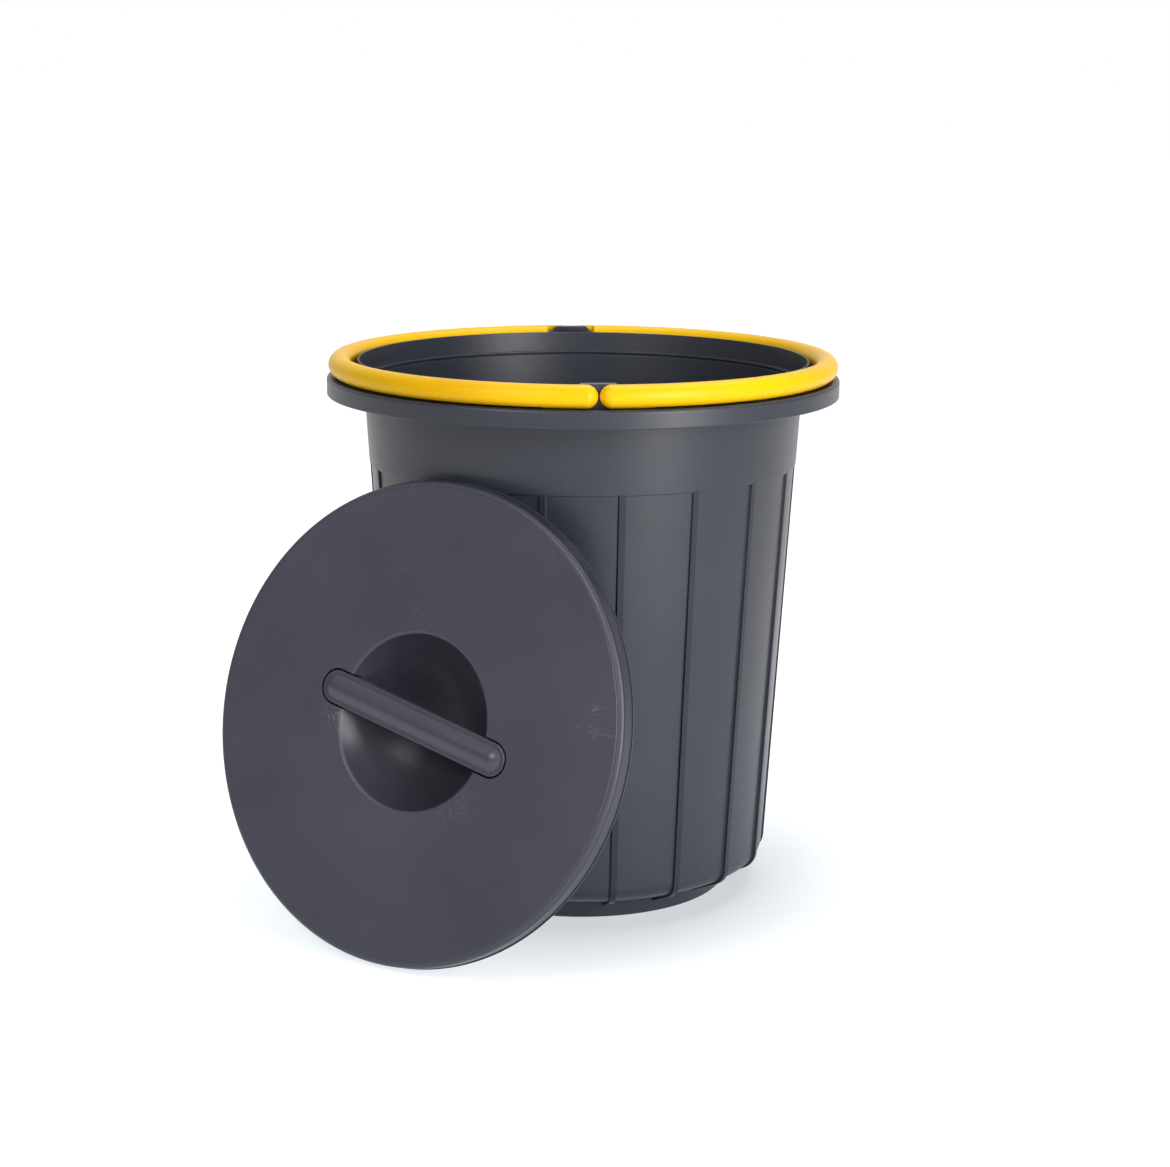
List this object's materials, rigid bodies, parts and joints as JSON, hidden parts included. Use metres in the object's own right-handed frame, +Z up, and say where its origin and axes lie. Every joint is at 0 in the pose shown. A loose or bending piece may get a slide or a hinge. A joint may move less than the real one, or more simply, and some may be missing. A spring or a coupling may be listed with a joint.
{
  "type": "recycling bin",
  "caption": "Round tapered bin with upright ribs, a loose lid whose finger bowl is bridged by a grip bar, and half-ring handles that swing up from lugs on the rim.",
  "frame": {"origin": "centre of the base on the floor, on the bin's axis", "axes": "+Z up along the bin's axis; the handle lugs stand on the Y axis, front lug at -Y; the half-ring handles lie on the +X and -X sides"},
  "size_m": [0.4197, 0.4335, 0.3708],
  "materials": {
    "body_plastic": "moulded, fine satin texture, anthracite blue-grey",
    "lid_plastic": "moulded, satin, anthracite grey",
    "grip_plastic": "moulded, satin, anthracite grey",
    "handle_plastic": "moulded, smooth satin, warm yellow"
  },
  "bodies": {
    "bin": {"bin_body": "body_plastic"},
    "left_handle": {"left_handle": "handle_plastic"},
    "right_handle": {"right_handle": "handle_plastic"},
    "lid": {"lid": "lid_plastic", "lid_grip": "grip_plastic"}
  },
  "joints": [
    {"name": "right_handle_swing", "type": "hinge", "parent": "bin", "child": "right_handle", "pos_m": [0.00805, 0, 0.36325], "axis": [0, -1, 0], "range_deg": [0, 90]},
    {"name": "left_handle_swing", "type": "hinge", "parent": "bin", "child": "left_handle", "pos_m": [-0.00805, 0, 0.36325], "axis": [0, 1, 0], "range_deg": [0, 90]},
    {"name": "lid_lift_off", "type": "slide", "parent": "bin", "child": "lid", "axis": [-0.5637, -0.7816, 0.2672], "range_m": [0, 0.3]}
  ]
}
